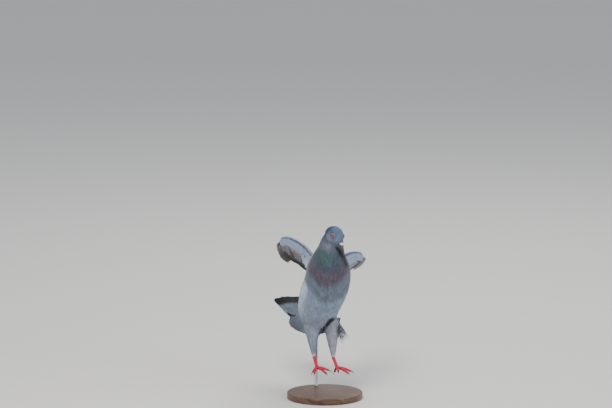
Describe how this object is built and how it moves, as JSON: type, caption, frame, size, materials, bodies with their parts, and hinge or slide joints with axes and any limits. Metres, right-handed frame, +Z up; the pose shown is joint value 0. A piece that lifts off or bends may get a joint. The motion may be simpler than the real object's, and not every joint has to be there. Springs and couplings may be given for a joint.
{
  "type": "pigeon",
  "caption": "Life-size blue-grey pigeon hopping upright with half-raised wings and dangling red feet, held over a flat round base by a thin rod.",
  "frame": {"origin": "centre of the stand's flat underside", "axes": "+Z up, the bird faces -Y, so its left side is +X"},
  "size_m": [0.1527, 0.3221, 0.2871],
  "materials": {
    "stand_wood": "satin walnut",
    "stand_steel": "fine brushed",
    "eye": "wet gloss, orange-red iris",
    "bill_horn": "dull horn",
    "cere": "chalky white",
    "claw_horn": "dark horn",
    "leg_skin": "scaly red skin",
    "head_feathers": "short smooth feathers",
    "neck_feathers": "green and purple sheen",
    "body_feathers": "smooth feathers",
    "rump_feathers": "smooth feathers",
    "covert_feathers": "overlapping coverts",
    "flight_feathers": "stiff vanes",
    "tail_feathers": "stiff vanes with a dark band"
  },
  "bodies": {
    "root": {"stand_base": "stand_wood", "stand_rod": "stand_steel", "head": "head_feathers", "eye_left": "eye", "eye_right": "eye", "bill_upper": "bill_horn", "bill_lower": "bill_horn", "cere": "cere", "neck": "neck_feathers", "rump": "rump_feathers", "tail": "tail_feathers", "trunk": "body_feathers", "wing_arm_right": "covert_feathers", "wing_hand_right": "covert_feathers", "flight_feathers_right": "flight_feathers", "wing_arm_left": "covert_feathers", "wing_hand_left": "covert_feathers", "flight_feathers_left": "flight_feathers", "thigh_right": "body_feathers", "tarsus_right": "leg_skin", "toe_hind_right": "leg_skin", "claw_hind_right": "claw_horn", "toe_inner_right": "leg_skin", "claw_inner_right": "claw_horn", "toe_middle_right": "leg_skin", "claw_middle_right": "claw_horn", "toe_outer_right": "leg_skin", "claw_outer_right": "claw_horn", "thigh_left": "body_feathers", "tarsus_left": "leg_skin", "toe_hind_left": "leg_skin", "claw_hind_left": "claw_horn", "toe_inner_left": "leg_skin", "claw_inner_left": "claw_horn", "toe_middle_left": "leg_skin", "claw_middle_left": "claw_horn", "toe_outer_left": "leg_skin", "claw_outer_left": "claw_horn"}
  },
  "joints": []
}
